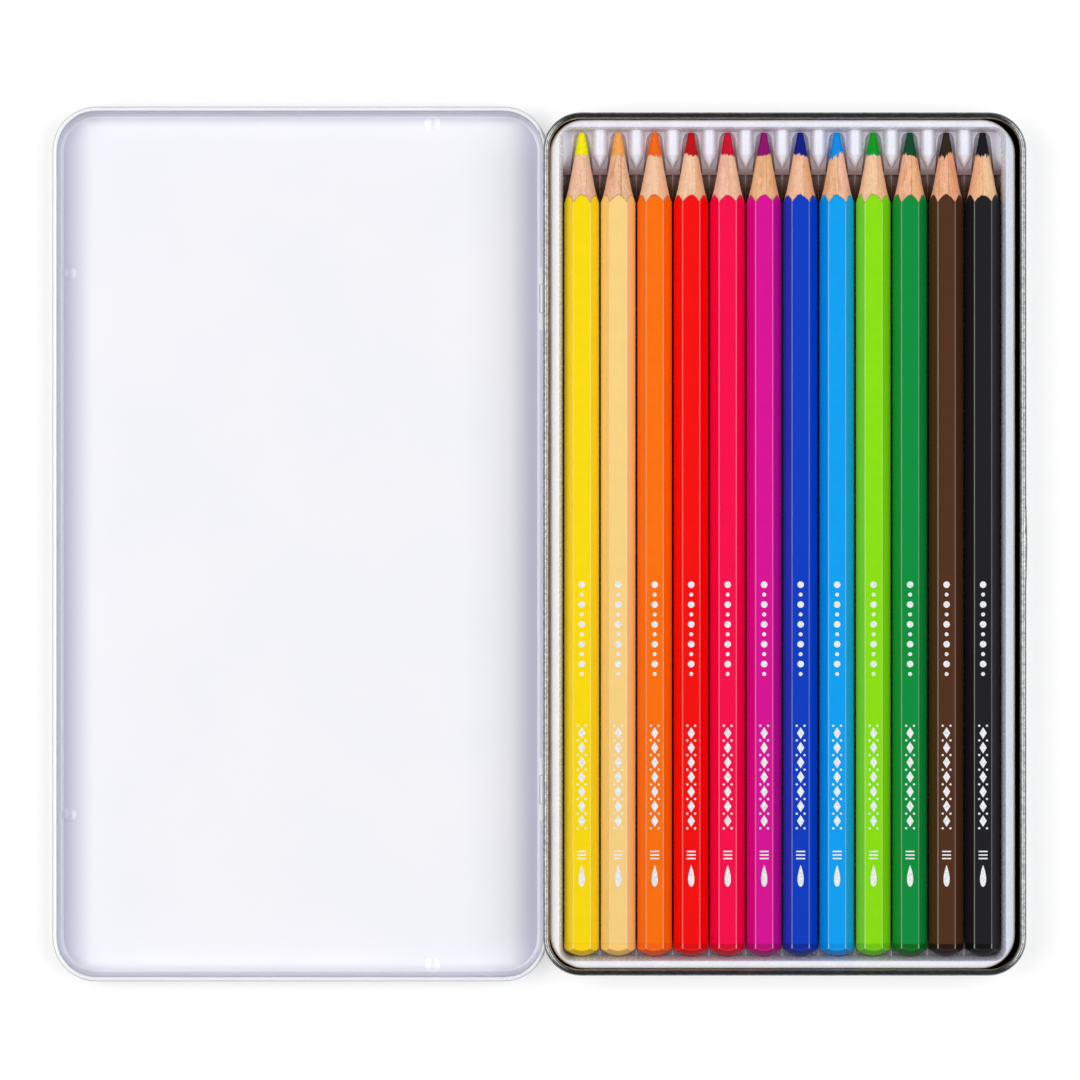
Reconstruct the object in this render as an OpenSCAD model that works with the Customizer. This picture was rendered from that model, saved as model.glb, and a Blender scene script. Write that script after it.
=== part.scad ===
// Hinged flat tin of twelve sharpened hexagonal coloured pencils, shown open.
// X runs across the pencils towards the front snap, Y along them towards the points, Z up.
// The origin is the middle of the base tin's underside. The lid lies open beyond its hinge, at -X.

/* [Base tin] */
// Height of the base to the top of its rolled rim
base_h = 10.6; // [10.2:0.1:16]
// Corner radius of the base over its rolled rim
base_corner_r = 8; // [6:0.1:12]
// Diameter of the roll round the base's rim
base_curl_d = 1.35; // [1.1:0.05:1.8]
// Radius of the bend between the base's wall and its floor
base_bend_r = 1.2; // [0.8:0.1:2]
// Thickness of the tinplate, base and lid
sheet_t = 0.25; // [0.2:0.01:0.35]

/* [Lid] */
// Depth of the lid from its panel to its rolled rim
lid_h = 5.8; // [4.8:0.1:7]
// Diameter of the roll round the lid's rim
lid_curl_d = 1.05; // [0.8:0.05:1.3]
// Radius of the bend between the lid's wall and its panel
lid_bend_r = 1.35; // [0.8:0.05:2]
// Gap all round between the base's roll and the lid's wall when shut
lid_gap = 0.3; // [0.25:0.01:0.6]
// Gap between the base's roll and the lid's panel when shut
rim_gap = 0.4; // [0.3:0.05:1]

/* [Lid dimples and front snap] */
// Width across each round dimple pressed into the lid's panel
dimple_d = 3.2; // [2:0.1:4]
// Height of each dimple, less than the gap above the base's roll
dimple_h = 0.3; // [0.1:0.05:0.3]
// Distance from the lid's wall to the middle of a dimple
dimple_inset = 2.2; // [1.8:0.1:4]
// Distance of the two front dimples from the ends of the base
dimple_end = 33.8; // [20:0.1:50]
// Distance of the two end dimples from the hinge side towards the front, from the lid's middle
dimple_x = 28; // [5:0.5:35]
// Length of the outward bulge in the middle of the base's front roll
bulge_l = 19; // [10:1:30]
// Height of that bulge
bulge_h = 0.2; // [0.1:0.01:0.2]
// Length of the inward dent in the middle of the lid's front wall
dent_l = 7.2; // [4:0.2:12]
// Depth of that dent
dent_h = 0.15; // [0.05:0.01:0.15]

/* [Hinge] */
// Diameter of the hinge wire
pin_d = 0.6; // [0.5:0.05:0.8]
// Running clearance round the wire, on its radius
pin_fit = 0.05; // [0.03:0.01:0.08]
// Distance of the middle of each hinge from the end of the base
hinge_end = 39.3; // [20:0.1:45]
// Length of the lid's knuckle
lid_knuckle_l = 6; // [4:0.1:10]
// Length of each of the base's two knuckles
base_knuckle_l = 3.5; // [2:0.1:6]
// Gap between neighbouring knuckles
knuckle_gap = 0.15; // [0.1:0.05:0.5]
// Gap between the open lid's rear roll and the base's wall
hinge_gap = 0.12; // [0.1:0.01:0.4]
// Height of the windows that the base's knuckle tongues were cut from
window_h = 2.8; // [1.5:0.1:3]

/* [Insert tray] */
// Thickness of the formed plastic sheet
tray_t = 0.4; // [0.3:0.05:0.6]
// Height of the tray's flange above the table
flange_z = 8.8; // [8.4:0.1:9.6]
// Width of the tray's flange along its sides, to the pocket's edge
side_flange_w = 1.95; // [1.6:0.05:3]
// Width of the tray's flange along its ends
end_flange_w = 1.6; // [1.4:0.05:3]
// Radius of the rounded edge between the flange and the pocket's wall
flange_round_r = 0.5; // [0.5:0.01:1]
// Room in the pocket beyond each side of the row of pencils
row_room = 0.93; // [0.9:0.01:3]
// Room in the pocket beyond the ends of the pencils
end_room = 1; // [0.95:0.01:3]
// Corner radius of the tray's outer edge
tray_corner_r = 7.3; // [6:0.1:10]
// Corner radius of the pocket at the flange
pocket_corner_r = 2.6; // [2:0.1:4]
// Gap between tray and tin wall, summed over both sides
tray_side_play = 1.1; // [1.1:0.05:2]
// How far the loose tray lies towards the hinge
tray_shift = 0.45; // [0:0.05:0.45]
// Gap between tray and tin wall at each end
tray_end_gap = 0.15; // [0.1:0.05:0.5]
// Gap under the tray
tray_seat_gap = 0.3; // [0.1:0.05:0.4]
// Inward lean of the pocket's wall for each millimetre of its depth
pocket_draft = 0.2; // [0.05:0.01:0.2]
// Height of the turned-down lip round the flange
lip_h = 2.2; // [1:0.1:3]
// Clearance between a pencil's edges and its trough, on the radius
trough_gap = 0.3; // [0.2:0.05:0.4]
// Depth of the ridge tops between troughs below the pencils' middle
ridge_drop = 1.3; // [1.3:0.05:1.6]
// Distance from the pencil points to the front of the raised shelf that carries them
shelf_l = 8.9; // [6:0.1:10]
// Length of the slope from the bed up to the shelf
shelf_slope_l = 1.2; // [0.8:0.1:2]
// Depth of the shelf below the pencils' middle
shelf_drop = 0.5; // [0.3:0.05:0.8]
// Radius of each point groove at its round end
groove_r = 1.85; // [1.4:0.05:2]
// Gap between a point and the round end of its groove
groove_end_gap = 0.2; // [0.1:0.05:0.5]
// Radius of the ridges between the point grooves
shelf_ridge_r = 1.65; // [1:0.05:1.7]
// Length over which the front end of each ridge runs out to a point
ridge_nose_l = 3; // [2:0.1:4]

/* [Pencils] */
// Length of a sharpened pencil
pencil_l = 174.4; // [120:0.1:200]
// Distance between flats over the lacquer
pencil_af = 6.45; // [5.8:0.01:6.5]
// Distance between the middles of neighbouring pencils
pencil_pitch = 7.72; // [7.7:0.01:8.2]
// Thickness of the lacquer coat
lacquer_t = 0.1; // [0.06:0.01:0.2]
// How far the pencil's long edges are rounded off below sharp
edge_round = 0.06; // [0.02:0.01:0.1]
// Radius of the domed, dipped rear end
dome_r = 5; // [4.4:0.1:8]
// Diameter of the lead
lead_d = 3; // [2:0.1:3.8]
// Glue line round the lead, on its radius
glue_t = 0.02; // [0.01:0.01:0.05]
// Radius of the blunt point
point_r = 0.6; // [0.3:0.05:0.7]
// Half angle of the sharpened cone
cone_angle = 10.5; // [10:0.1:12]
// Length of the straight cone, from the point to where it flares out
cone_l = 11.4; // [9:0.1:12]
// Radius of the flare where the sharpener ran out
flare_r = 20; // [10:1:40]
// Thickness of the dip that closes the rear end
cap_t = 0.4; // [0.2:0.05:0.6]

/* [Hidden] */
COLOURS = ["yellow", "peach", "orange", "red", "raspberry", "magenta",
           "dark_blue", "light_blue", "lime", "green", "brown", "black"];
LACQUER = ["#ffe000", "#fdd782", "#ff7300", "#f00000", "#f00048", "#d80592",
           "#003cc3", "#00a5f5", "#8ce605", "#00913c", "#502d19", "#19191c"];
LEAD = ["#fff200", "#fdaa50", "#fd6e00", "#c80005", "#d70032", "#96006e",
        "#00148c", "#0091eb", "#00a019", "#004b28", "#2d2314", "#0f0f16"];
$fn = 64;
// Overlap by which cutters pass a face and joined solids bite into each other
bite = 0.05;
// Reach of a cutter past what it cuts away whole
cut_margin = 1;
// Fineness of the shallow arcs of large radius
large_fn = 200;
count = len(COLOURS);

// How far the roll's edge goes past its lowest point, in towards the wall
roll_slit = 0.1;

// Tray, from its pencils outwards
row_half = (count - 1) / 2 * pencil_pitch;
pocket_half_x = row_half + pencil_pitch / 2 + row_room;
pocket_half_y = pencil_l / 2 + end_room;
tray_half_x = pocket_half_x + side_flange_w;
tray_half_y = pocket_half_y + end_flange_w;

// Base, round its tray: the wall's outer face, inside the roll, and the whole over the roll
base_roll_out = base_curl_d - sheet_t;
base_wall_x = tray_half_x + tray_side_play / 2 + sheet_t;
base_wall_y = tray_half_y + tray_end_gap + sheet_t;
base_wall_r = base_corner_r - base_roll_out;
base_w = 2 * (base_wall_x + base_roll_out);
base_l = 2 * (base_wall_y + base_roll_out);
hinge_y = base_l / 2 - hinge_end;
dimple_y = base_l / 2 - dimple_end;

// Lid: the wall's outer face and the whole, roll included
lid_wall_x = base_w / 2 + lid_gap + sheet_t;
lid_wall_y = base_l / 2 + lid_gap + sheet_t;
lid_wall_r = base_corner_r + lid_gap + sheet_t;
lid_roll_out = lid_curl_d - sheet_t;
lid_half_w = lid_wall_x + lid_roll_out;

// Hinge line, placed so that the lid turns right over and lies level with the base's underside
shut_h = base_h + rim_gap + sheet_t;
hinge_z = shut_h / 2;
hinge_x = -(base_wall_x + hinge_gap + lid_half_w) / 2;
bore_r = pin_d / 2 + pin_fit;
knuckle_r = bore_r + sheet_t;
knuckle_step = lid_knuckle_l / 2 + knuckle_gap;
hinge_half_l = knuckle_step + base_knuckle_l;
// The lid's notch round each hinge: its length past the knuckles and its depth below them
notch_margin = 0.3;
notch_depth = 0.35;
notch_drop = knuckle_r + notch_depth;

// Pencils: a hexagon with one flat up
pencil_r = pencil_af / 2 / cos(30);
pencil_middle_y = -0.06;
point_y = pencil_middle_y + pencil_l / 2;
rear_y = point_y - pencil_l;
taper = tan(cone_angle);
// Number of straight stretches along the flare, and round the flange's edge
flare_steps = 6;
round_steps = 5;

// Heights in the tray
tray_x = -tray_shift;
trough_r = pencil_r + trough_gap;
pencil_z = sheet_t + tray_seat_gap + tray_t + trough_r;
tray_bottom_z = pencil_z - trough_r - tray_t;
ridge_z = pencil_z - ridge_drop;
shelf_z = pencil_z - shelf_drop;
shelf_front_y = point_y - shelf_l;
lip_round_r = 0.8;

function pencil_x(i) = tray_x - row_half + i * pencil_pitch;

// A flat plate with round corners, its outline half_x by half_y from the middle
module round_plate(half_x, half_y, r, h) {
    linear_extrude(h) {
        square([2 * half_x, 2 * (half_y - r)], center = true);
        square([2 * (half_x - r), 2 * half_y], center = true);
        for (sx = [-1, 1], sy = [-1, 1])
            translate([sx * (half_x - r), sy * (half_y - r)])
                circle(r);
    }
}

// A child profile carried round a rectangle with round corners.
// The profile's x is the distance outwards from that line and its y is height.
module carry_round(half_x, half_y, r) {
    for (side = [0, 1])
        rotate(180 * side) {
            translate([half_x, 0, 0])
                rotate([90, 0, 0])
                    linear_extrude(2 * (half_y - r), center = true)
                        children();
            translate([0, half_y, 0])
                rotate([90, 0, 90])
                    linear_extrude(2 * (half_x - r), center = true)
                        children();
            translate([half_x - r, half_y - r, 0])
                rotate_extrude(angle = 90)
                    translate([r, 0])
                        children();
            translate([-(half_x - r), half_y - r, 0])
                rotate(90)
                    rotate_extrude(angle = 90)
                        translate([r, 0])
                            children();
        }
}

// Section of a pan's side: bend, wall and outward roll. The wall's outer face is at x = 0.
module pan_section(h, bend_r, roll_d) {
    roll_r = roll_d / 2;
    translate([-sheet_t, bend_r])
        square([sheet_t, h - roll_r - bend_r]);
    intersection() {
        translate([-bend_r, bend_r])
            difference() {
                circle(bend_r);
                circle(bend_r - sheet_t);
            }
        translate([-bend_r, 0])
            square(bend_r);
    }
    translate([roll_r - sheet_t, h - roll_r])
        difference() {
            circle(roll_r);
            circle(roll_r - sheet_t);
            translate([-roll_r, -roll_r])
                square([roll_r - roll_slit, roll_r]);
        }
}

// A drawn tinplate pan with a rolled rim
module pan(half_x, half_y, r, h, bend_r, roll_d) {
    round_plate(half_x - bend_r, half_y - bend_r, r - bend_r, sheet_t);
    carry_round(half_x, half_y, r)
        pan_section(h, bend_r, roll_d);
}

// A tube along Y between two places, for a knuckle
module knuckle(y, l) {
    translate([0, y, 0])
        rotate([-90, 0, 0])
            cylinder(h = l, r = knuckle_r);
}

// The bore through all knuckles of one hinge
module knuckle_bore() {
    translate([0, -hinge_half_l - bite, 0])
        rotate([-90, 0, 0])
            cylinder(h = 2 * (hinge_half_l + bite), r = bore_r);
}

module base_tin() {
    tongue_reach = -base_wall_x - hinge_x;
    // Radius of the arc that rises by bulge_h over half of bulge_l. Its ends run on into the roll.
    bulge_arc_r = (pow(bulge_l / 2, 2) + pow(bulge_h, 2)) / (2 * bulge_h);
    bulge_turn = 2.4 * asin(bulge_l / 2 / bulge_arc_r);
    bulge_roll_r = base_curl_d / 2 - bite;
    color("silver")
    difference() {
        union() {
            pan(base_wall_x, base_wall_y, base_wall_r, base_h, base_bend_r, base_curl_d);
            // Bulge of the front roll that the lid's dent snaps under
            translate([base_w / 2 + bulge_h - bulge_arc_r, 0, base_h - base_curl_d / 2])
                rotate(-bulge_turn / 2)
                    rotate_extrude(angle = bulge_turn, $fn = large_fn)
                        translate([bulge_arc_r - bulge_roll_r, 0])
                            circle(bulge_roll_r);
            // Knuckles on tongues bent out of the back wall
            for (side = [-1, 1], end = [-1, 1])
                translate([hinge_x, side * hinge_y, hinge_z]) {
                    knuckle(min(end * knuckle_step, end * hinge_half_l), base_knuckle_l);
                    translate([0, min(end * knuckle_step, end * hinge_half_l), -knuckle_r])
                        cube([tongue_reach + bite, base_knuckle_l, sheet_t]);
                }
        }
        for (side = [-1, 1])
            translate([0, side * hinge_y, 0]) {
                translate([hinge_x, 0, hinge_z])
                    knuckle_bore();
                for (end = [-1, 1])
                    translate([-base_wall_x - bite, min(end * knuckle_step, end * hinge_half_l),
                               hinge_z - knuckle_r + sheet_t])
                        cube([sheet_t + 2 * bite, base_knuckle_l, window_h]);
            }
    }
}

// A round bump pressed up through a panel that lies on z = 0
module dimple(inner) {
    cap_r = (pow(dimple_d / 2, 2) + pow(dimple_h, 2)) / (2 * dimple_h);
    translate([0, 0, sheet_t + dimple_h - cap_r])
        intersection() {
            sphere(inner ? cap_r - sheet_t : cap_r);
            translate([0, 0, cap_r - sheet_t - dimple_h])
                cylinder(h = 2 * (sheet_t + dimple_h), d = dimple_d + 2 * cut_margin);
        }
}

// The four places of the dimples in the lid's own frame, front at -x
module at_dimples() {
    inset_x = lid_wall_x - sheet_t - dimple_inset;
    inset_y = lid_wall_y - sheet_t - dimple_inset;
    for (side = [-1, 1]) {
        translate([-inset_x, side * dimple_y, 0])
            children();
        translate([dimple_x, side * inset_y, 0])
            children();
    }
}

// The lid in its own frame, panel down as it lies open, hinge side at +x
module lid_open() {
    pivot_x = -hinge_x;
    dent_r = (pow(dent_l / 2, 2) + pow(dent_h, 2)) / (2 * dent_h);
    dent_margin = 0.2;
    dent_low_z = shut_h - (base_h - base_curl_d) + dent_margin;
    dent_high_z = lid_h - lid_curl_d - dent_margin;
    difference() {
        union() {
            pan(lid_wall_x, lid_wall_y, lid_wall_r, lid_h, lid_bend_r, lid_curl_d);
            at_dimples()
                dimple(false);
            // Dent of the front wall, seen from inside
            intersection() {
                translate([-(lid_wall_x - sheet_t) + dent_h - dent_r, 0, dent_low_z])
                    cylinder(h = dent_high_z - dent_low_z, r = dent_r, $fn = large_fn);
                translate([-lid_wall_x + bite, -dent_l, dent_low_z])
                    cube([sheet_t + dent_h, 2 * dent_l, dent_high_z - dent_low_z]);
            }
        }
        at_dimples()
            dimple(true);
        // Dent of the front wall, seen from outside
        intersection() {
            translate([-lid_wall_x + dent_h - dent_r, 0, dent_low_z + sheet_t / 2])
                cylinder(h = dent_high_z - dent_low_z - sheet_t, r = dent_r, $fn = large_fn);
            translate([-lid_wall_x - bite, -dent_l, dent_low_z])
                cube([dent_h + bite, 2 * dent_l, dent_high_z - dent_low_z]);
        }
        // Roll and wall cut away round each hinge
        for (side = [-1, 1])
            translate([lid_wall_x - sheet_t - bite, side * hinge_y - hinge_half_l - notch_margin,
                       hinge_z - notch_drop])
                cube([lid_curl_d + cut_margin, 2 * (hinge_half_l + notch_margin), lid_h]);
    }
    // One tongue at each hinge, curled round the wire
    for (side = [-1, 1])
        translate([pivot_x, side * hinge_y, hinge_z])
            difference() {
                union() {
                    knuckle(-lid_knuckle_l / 2, lid_knuckle_l);
                    translate([lid_wall_x - sheet_t - pivot_x, -lid_knuckle_l / 2, -notch_drop - bite])
                        cube([sheet_t, lid_knuckle_l, notch_drop + bite - bore_r]);
                }
                knuckle_bore();
            }
}

module lid() {
    color("ghostwhite")
        translate([2 * hinge_x, 0, 0])
            lid_open();
}

module hinge_pins() {
    color("gray")
        for (side = [-1, 1])
            translate([hinge_x, side * hinge_y - hinge_half_l, hinge_z])
                rotate([-90, 0, 0])
                    cylinder(h = 2 * hinge_half_l, d = pin_d);
}

// Section of the pocket's side from low_z up, drawn out by grow. Each point is its distance outside the
// pocket's edge and its height. The wall leans inwards below a round edge that runs out level with the
// flange.
function pocket_wall(grow, low_z) =
    let (lean = atan(pocket_draft),
         edge_r = flange_round_r - grow,
         corner_x = grow * (1 - pocket_draft),
         corner_z = flange_z - grow,
         arc_x = corner_x + edge_r * (1 - sin(lean)) / cos(lean))
    concat([[corner_x - pocket_draft * (corner_z - low_z), low_z]],
           [for (k = [0:round_steps])
                let (a = lean + (90 - lean) * k / round_steps)
                [arc_x - edge_r * cos(a), corner_z - edge_r + edge_r * sin(a)]],
           [[arc_x, flange_z + bite]]);

// A section of one side, mirrored to the other, half away from the middle
function both_sides(wall, half) =
    concat([for (p = wall) [half + p[0], p[1]]],
           [for (k = [len(wall) - 1:-1:0]) [-half - wall[k][0], wall[k][1]]]);

// The tray's pocket as a solid
module pocket(grow, low_z) {
    wall = pocket_wall(grow, low_z);
    rotate([90, 0, 0])
        linear_extrude(2 * (pocket_half_y - pocket_corner_r), center = true)
            polygon(both_sides(wall, pocket_half_x));
    rotate([90, 0, 90])
        linear_extrude(2 * (pocket_half_x - pocket_corner_r), center = true)
            polygon(both_sides(wall, pocket_half_y));
    for (sx = [-1, 1], sy = [-1, 1])
        translate([sx * (pocket_half_x - pocket_corner_r), sy * (pocket_half_y - pocket_corner_r), 0])
            rotate_extrude()
                polygon(concat([for (p = wall) [pocket_corner_r + p[0], p[1]]],
                               [[0, flange_z + bite], [0, low_z]]));
}

// The tray's outer block with its top edge rounded, smaller by inset on every side and at the top
module tray_block(inset) {
    edge_r = lip_round_r - inset;
    half_x = tray_half_x - inset;
    half_y = tray_half_y - inset;
    r = tray_corner_r - inset;
    top_z = flange_z - inset;
    translate([0, 0, tray_bottom_z - inset])
        round_plate(half_x, half_y, r, top_z - edge_r - tray_bottom_z + inset);
    translate([0, 0, top_z - edge_r - bite])
        round_plate(half_x - edge_r, half_y - edge_r, r - edge_r, edge_r + bite);
    carry_round(half_x - edge_r, half_y - edge_r, r - edge_r)
        translate([0, top_z - edge_r])
            circle(edge_r);
}

// Everything under the tray's upper face, or under its lower face when inset is the sheet's thickness
module tray_form(inset) {
    trough = trough_r + inset;
    bed_top_z = ridge_z - inset;
    bed_low_z = tray_bottom_z - inset;
    // The space below ends at the pocket's rear wall, where the bed above it runs on
    foot_half_y = pocket_half_y - pocket_draft * (flange_z - tray_bottom_z);
    bed_end_y = inset > 0 ? foot_half_y : pocket_half_y + cut_margin;
    bed_half_x = pocket_half_x + cut_margin;
    shelf_y = shelf_front_y + inset;
    shelf_top_z = shelf_z - inset;
    difference() {
        tray_block(inset);
        pocket(inset, tray_bottom_z + tray_t - inset);
    }
    // Bed with a round trough under each pencil
    intersection() {
        difference() {
            translate([-bed_half_x, -bed_end_y, bed_low_z])
                cube([2 * bed_half_x, bed_end_y + shelf_y + bite, bed_top_z - bed_low_z]);
            for (i = [0:count - 1])
                translate([pencil_x(i) - tray_x, 0, pencil_z])
                    rotate([90, 0, 0])
                        cylinder(h = 2 * tray_half_y, r = trough, center = true);
        }
        pocket_core();
    }
    // Shelf with a groove under each point and a round ridge beside it
    intersection() {
        union() {
            difference() {
                rotate([90, 0, 90])
                    linear_extrude(2 * bed_half_x, center = true)
                        polygon([[shelf_y, bed_low_z], [tray_half_y, bed_low_z], [tray_half_y, shelf_top_z],
                                 [shelf_y + shelf_slope_l, shelf_top_z], [shelf_y, bed_top_z]]);
                for (i = [0:count - 1])
                    translate([pencil_x(i) - tray_x, 0, pencil_z])
                        point_groove(groove_r + inset);
            }
            for (i = [1:count - 1])
                translate([pencil_x(i) - tray_x - pencil_pitch / 2, 0, shelf_z])
                    shelf_ridge(inset);
        }
        pocket_core();
    }
}

// The upright column inside the pocket's edge. What fills it runs on into the pocket's leaning walls.
module pocket_core() {
    round_plate(pocket_half_x, pocket_half_y, pocket_corner_r, flange_z);
}

// A groove along Y that widens with the sharpened cone and ends round just past the point
module point_groove(r) {
    end_y = point_y + groove_end_gap - groove_r;
    reach = end_y - shelf_front_y + bite + tray_t;
    widening = reach * taper / 2;
    translate([0, end_y, 0]) {
        sphere(r);
        rotate([90, 0, 0])
            cylinder(h = reach, r1 = r, r2 = r + widening);
    }
}

// A ridge between two grooves, its surface inset below the sheet's. Its front end runs out to a solid point.
module shelf_ridge(inset) {
    nose_r = 0.1;
    nose_y = shelf_front_y + shelf_slope_l;
    translate([0, nose_y + ridge_nose_l, 0])
        rotate([-90, 0, 0])
            cylinder(h = tray_half_y - nose_y - ridge_nose_l, r = shelf_ridge_r - inset);
    if (inset == 0)
        translate([0, nose_y, 0])
            rotate([-90, 0, 0])
                cylinder(h = ridge_nose_l, r1 = nose_r, r2 = shelf_ridge_r);
}

module insert_tray() {
    color("white")
    translate([tray_x, 0, 0])
        difference() {
            tray_form(0);
            tray_form(tray_t);
            // Open underneath, with only a short lip hanging from the flange
            difference() {
                translate([-tray_half_x - cut_margin, -tray_half_y - cut_margin, 0])
                    cube([2 * (tray_half_x + cut_margin), 2 * (tray_half_y + cut_margin), flange_z - lip_h]);
                translate([0, 0, -cut_margin])
                    round_plate(tray_half_x - tray_t, tray_half_y - tray_t, tray_corner_r - tray_t,
                                flange_z + cut_margin);
            }
        }
}

// A hexagonal bar along Y with one flat up and its long edges rounded
module hex_bar(across, low_y, high_y) {
    sharp_r = across / 2 / cos(30);
    translate([0, high_y, 0])
        rotate([90, 0, 0])
            linear_extrude(high_y - low_y)
                intersection() {
                    circle(sharp_r, $fn = 6);
                    circle(sharp_r - edge_round);
                }
}

// A profile turned about Y: its x is the radius and its y is the place along Y
module turn_about_y() {
    rotate([-90, 0, 0])
        rotate_extrude()
            children();
}

// Half section of what the sharpener and the dipped rear end leave, with its rear end moved in by inset.
// The straight cone runs out in a flare of large radius.
module turned_section(inset, front_y) {
    end_r = dome_r - inset;
    dome_y = rear_y + dome_r;
    // Middle of the flare's arc and the angle at which it reaches end_r
    flare_x = point_r + cone_l * taper + flare_r * cos(cone_angle);
    flare_y = front_y - cone_l + flare_r * sin(cone_angle);
    flare_turn = acos((flare_x - end_r) / flare_r) - cone_angle;
    flare = [for (k = [0:flare_steps])
                 let (a = cone_angle + flare_turn * k / flare_steps)
                 [flare_x - flare_r * cos(a), flare_y - flare_r * sin(a)]];
    difference() {
        polygon(concat([[0, front_y], [point_r, front_y]], flare,
                       [[end_r, dome_y - end_r], [0, dome_y - end_r]]));
        // Corner outside the dome
        difference() {
            translate([0, dome_y - end_r - bite])
                square(end_r + bite);
            translate([0, dome_y])
                circle(end_r);
        }
    }
}

module lead(i) {
    cone_y = point_y - (lead_d / 2 - point_r) / taper;
    end_y = rear_y + 2 * cap_t;
    color(LEAD[i])
        translate([pencil_x(i), 0, pencil_z])
            turn_about_y()
                polygon([[0, point_y], [point_r, point_y], [lead_d / 2, cone_y],
                         [lead_d / 2, end_y], [0, end_y]]);
}

module casing(i) {
    wood_af = pencil_af - 2 * lacquer_t;
    color("burlywood")
        translate([pencil_x(i), 0, pencil_z])
            difference() {
                intersection() {
                    hex_bar(wood_af, rear_y, point_y);
                    turn_about_y()
                        turned_section(cap_t, point_y);
                }
                translate([0, point_y + cut_margin, 0])
                    rotate([90, 0, 0])
                        cylinder(h = pencil_l + 2 * cut_margin, d = lead_d + 2 * glue_t);
            }
}

module lacquer(i) {
    wood_af = pencil_af - 2 * lacquer_t;
    color(LACQUER[i])
        translate([pencil_x(i), 0, pencil_z])
            difference() {
                intersection() {
                    hex_bar(pencil_af, rear_y, point_y);
                    turn_about_y()
                        turned_section(0, point_y);
                }
                intersection() {
                    hex_bar(wood_af, rear_y, point_y + cut_margin);
                    turn_about_y()
                        turned_section(cap_t, point_y + pencil_l / 2);
                }
            }
}

base_tin();
lid();
insert_tray();
hinge_pins();
for (i = [0:count - 1]) {
    casing(i);
    lead(i);
    lacquer(i);
}
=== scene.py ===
# A hinged tin of twelve coloured pencils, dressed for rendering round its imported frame.
# X runs across the pencils, Y along them towards their points, Z up.
# The scene is in metres. Lengths inside the materials and in the ornament are in millimetres.
import math

import bpy
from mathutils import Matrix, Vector


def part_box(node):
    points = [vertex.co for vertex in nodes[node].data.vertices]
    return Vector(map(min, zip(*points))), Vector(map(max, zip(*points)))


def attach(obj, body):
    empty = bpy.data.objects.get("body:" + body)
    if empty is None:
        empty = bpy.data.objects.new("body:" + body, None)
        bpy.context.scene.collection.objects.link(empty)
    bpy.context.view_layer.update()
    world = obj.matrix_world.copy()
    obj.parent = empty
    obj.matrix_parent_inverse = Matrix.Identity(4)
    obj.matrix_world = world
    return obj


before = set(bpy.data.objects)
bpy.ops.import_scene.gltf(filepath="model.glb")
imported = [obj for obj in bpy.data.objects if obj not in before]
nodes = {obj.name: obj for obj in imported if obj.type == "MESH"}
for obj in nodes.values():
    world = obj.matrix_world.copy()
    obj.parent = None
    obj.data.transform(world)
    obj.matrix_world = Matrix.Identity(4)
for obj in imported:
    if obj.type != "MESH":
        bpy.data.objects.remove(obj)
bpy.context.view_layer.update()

MM = 0.001
# The band of a noise, which runs from 0 to 1, over which one tone gives way to the other
EVEN = (0.3, 0.7)

# Each pencil's colours as sRGB: lacquer, dipped rear end and point,
# then the wood left and right of its seam,
# then where the seam lies and how far the lead's edge is torn, both in mm, and how much that edge leans,
# how far the scallops are torn in mm, and how streaked and how flecked the wood is, from 0 to 1.
PENCILS = {
    "yellow": ((255, 222, 0), (252, 212, 2), (255, 242, 0),
               (250, 208, 178), (246, 200, 168),
               1.0, 0.85, 0.0, 1.5, 0.45, 0.8),
    "peach": ((253, 213, 132), (253, 205, 112), (253, 170, 80),
              (248, 202, 168), (250, 206, 170),
              0.6, 1.0, 0.1, 1.4, 1.0, 0.8),
    "orange": ((255, 114, 0), (250, 98, 0), (253, 106, 0),
               (255, 212, 178), (252, 200, 158),
               0.8, 1.0, 0.0, 1.3, 0.15, 0.3),
    "red": ((250, 0, 0), (226, 0, 0), (198, 0, 5),
            (255, 216, 180), (248, 188, 146),
            0.9, 0.7, -0.25, 1.2, 0.25, 0.2),
    "raspberry": ((252, 0, 74), (216, 0, 42), (212, 0, 48),
                  (255, 208, 184), (252, 206, 174),
                  0.1, 0.6, -0.15, 1.2, 0.45, 0.3),
    "magenta": ((220, 4, 150), (180, 0, 116), (148, 0, 108),
                (250, 202, 154), (246, 192, 140),
                0.5, 0.6, 0.1, 1.1, 0.7, 0.3),
    "dark_blue": ((0, 60, 194), (0, 42, 150), (0, 20, 138),
                  (253, 208, 174), (246, 188, 142),
                  0.7, 0.8, -0.2, 1.6, 0.5, 0.3),
    "light_blue": ((0, 163, 244), (0, 146, 228), (0, 144, 234),
                   (248, 202, 158), (255, 206, 174),
                   0.2, 1.1, 0.55, 1.3, 0.7, 0.3),
    "lime": ((140, 228, 4), (114, 200, 1), (0, 158, 25),
             (255, 216, 174), (252, 204, 158),
             0.9, 0.8, 0.0, 1.5, 0.3, 0.5),
    "green": ((0, 144, 60), (0, 104, 20), (0, 74, 40),
              (254, 200, 164), (248, 198, 146),
              0.3, 0.7, -0.1, 1.2, 0.8, 0.5),
    "brown": ((82, 46, 26), (36, 12, 4), (45, 35, 20),
              (254, 194, 156), (250, 180, 138),
              0.4, 1.0, 0.35, 1.2, 0.8, 0.9),
    "black": ((26, 26, 29), (4, 4, 6), (15, 15, 21),
              (254, 198, 158), (252, 214, 168),
              -0.05, 1.3, -0.1, 1.1, 0.5, 0.4),
}
# The lime pencil's lead runs out in a blue-green rim
LEAD_RIM = {"lime": (0, 146, 166)}


def srgb(colour):
    """A colour of 0 to 255 as Blender's linear RGBA."""
    linear = [((c / 255 + 0.055) / 1.055) ** 2.4 if c > 10 else c / 255 / 12.92 for c in colour]
    return (*linear, 1.0)


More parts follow.
